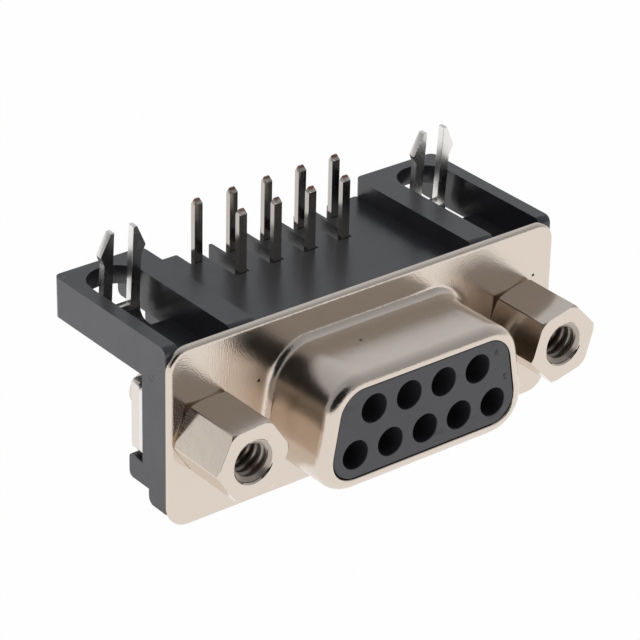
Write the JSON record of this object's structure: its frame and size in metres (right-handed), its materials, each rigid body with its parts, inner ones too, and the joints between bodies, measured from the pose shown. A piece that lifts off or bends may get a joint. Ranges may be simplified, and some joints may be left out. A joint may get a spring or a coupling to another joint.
{
  "type": "right-angle socket connector for a circuit board",
  "caption": "Right-angle socket connector for a circuit board: D-shaped metal nose on a flange, hexagonal posts, slotted bracket, forked board locks and bent solder tails.",
  "frame": {"origin": "centre of the flange's front face, on the mating axis", "axes": "+X along the contact rows, -Y towards the mating plug, +Z towards the circuit board"},
  "size_m": [0.0308, 0.0182, 0.0164],
  "materials": {
    "shell_nickel": "nickel plate on drawn steel, half bright",
    "screw_nickel": "nickel plate on turned steel, bright",
    "strap_tin": "tin plate on stamped brass, satin",
    "plate_tin": "tin plate on stamped steel, satin",
    "contact_tin": "tin plate on copper alloy, half bright",
    "black_moulding": "glass-filled polyester, fine matt"
  },
  "bodies": {
    "root": {"front_shell": "shell_nickel", "front_insulator": "black_moulding", "rear_insulator": "black_moulding", "bracket": "black_moulding", "contact_1": "contact_tin", "contact_2": "contact_tin", "contact_3": "contact_tin", "contact_4": "contact_tin", "contact_5": "contact_tin", "contact_6": "contact_tin", "contact_7": "contact_tin", "contact_8": "contact_tin", "contact_9": "contact_tin", "jackscrew_left": "screw_nickel", "ground_strap_left": "strap_tin", "nut_plate_left": "plate_tin", "jackscrew_right": "screw_nickel", "ground_strap_right": "strap_tin", "nut_plate_right": "plate_tin"}
  },
  "joints": []
}
